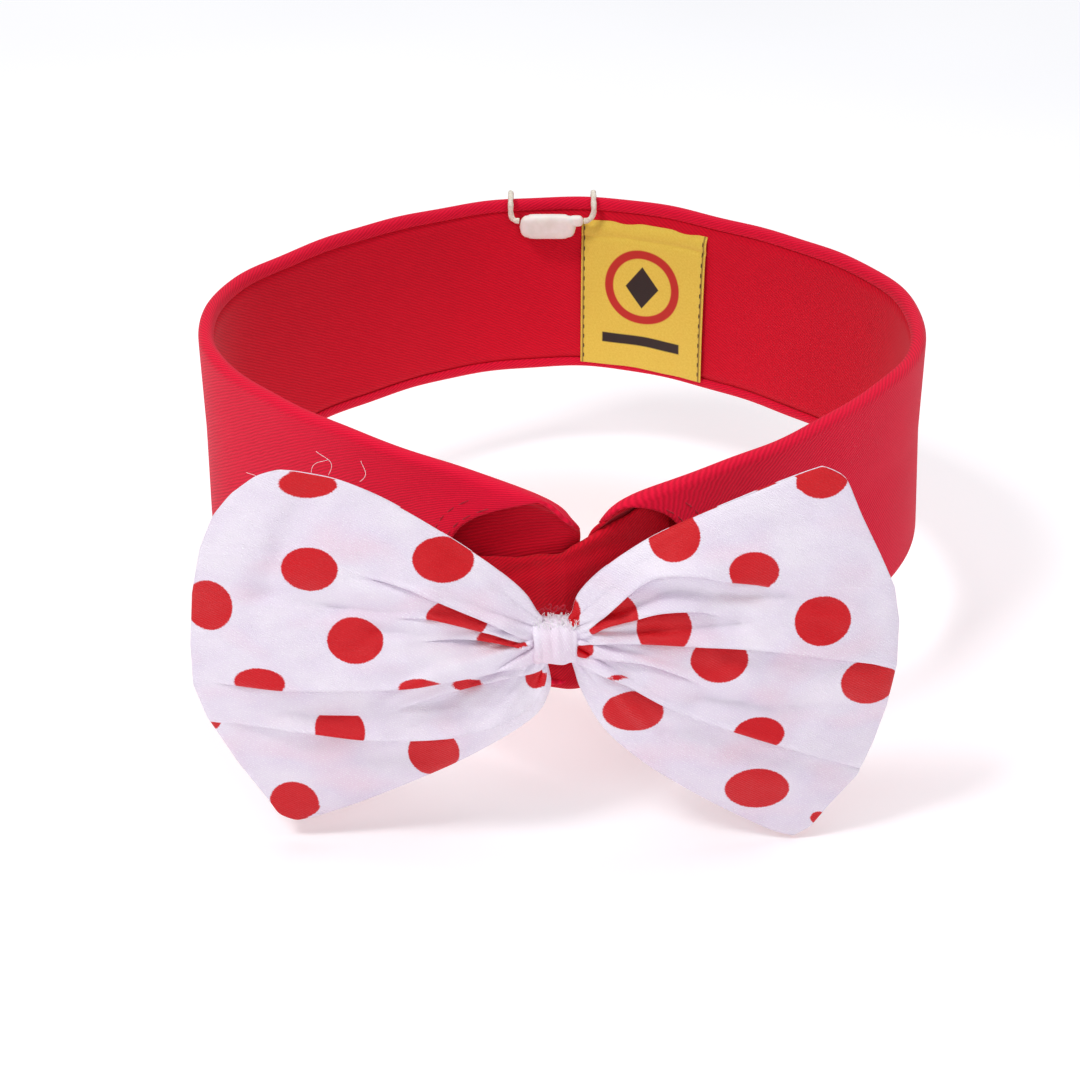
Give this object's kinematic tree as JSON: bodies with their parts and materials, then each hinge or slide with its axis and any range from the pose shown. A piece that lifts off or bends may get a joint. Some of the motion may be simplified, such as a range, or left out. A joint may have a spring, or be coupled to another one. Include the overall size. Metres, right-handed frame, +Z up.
{
  "type": "slip-on pet bow tie",
  "caption": "Slip-on bow tie for a pet's neck: white satin bow with red spots on a red twill neck band with an elastic bridge.",
  "frame": {"origin": "centre of the neck ring, midway between the band's top and bottom edges", "axes": "+Z up along the neck opening, -Y towards the bow at the front, +X to the viewer's right when facing the bow"},
  "size_m": [0.1296, 0.1455, 0.0645],
  "materials": {
    "red_twill": "matte",
    "red_twill_inner": "matte",
    "red_thread": "matte",
    "white_satin": "satin",
    "white_interfacing": "matte",
    "white_thread": "matte",
    "elastic_web": "matte",
    "yellow_label": "matte",
    "dark_thread": "matte",
    "tag_cord": "matte",
    "white_plastic": "satin"
  },
  "bodies": {
    "band": {"band_shell": "red_twill", "band_lining": "red_twill_inner", "band_interlining": "white_interfacing", "left_hem_stitches": "red_thread", "right_hem_stitches": "red_thread", "left_anchor_stitches": "red_thread", "right_anchor_stitches": "red_thread", "woven_label": "yellow_label", "label_stitches": "dark_thread", "tag_string": "tag_cord"},
    "seal": {"tag_seal": "white_plastic", "seal_plug": "white_plastic"},
    "bow": {"bridge_casing": "red_twill", "bridge_elastic": "elastic_web", "bow_centre": "white_satin", "gather_thread": "white_thread", "knot_wrap": "white_satin", "wrap_closing_stitches": "white_thread", "bow_tack_stitches": "white_thread"},
    "left_wing": {"left_wing_front": "white_satin", "left_wing_back": "white_satin", "left_wing_interfacing": "white_interfacing"},
    "right_wing": {"right_wing_front": "white_satin", "right_wing_back": "white_satin", "right_wing_interfacing": "white_interfacing"}
  },
  "joints": [
    {"name": "front_stretch", "type": "slide", "parent": "band", "child": "bow", "axis": [0, -1, 0], "range_m": [0, 0.01], "stiffness_N_per_m": 200, "deforming": ["bridge_casing", "bridge_elastic"]},
    {"name": "left_wing_flex", "type": "hinge", "parent": "bow", "child": "left_wing", "pos_m": [-0.0084, -0.0757, -0.0024], "axis": [0, 0, 1], "range_deg": [-8, 25], "stiffness_Nm_per_rad": 0.004},
    {"name": "right_wing_flex", "type": "hinge", "parent": "bow", "child": "right_wing", "pos_m": [0.0044, -0.0757, -0.0024], "axis": [0, 0, -1], "range_deg": [-8, 25], "stiffness_Nm_per_rad": 0.004},
    {"name": "seal_swing", "type": "hinge", "parent": "band", "child": "seal", "pos_m": [-0.0027, 0.0569, 0.0153], "axis": [-1, 0, 0], "range_deg": [0, 110]}
  ]
}
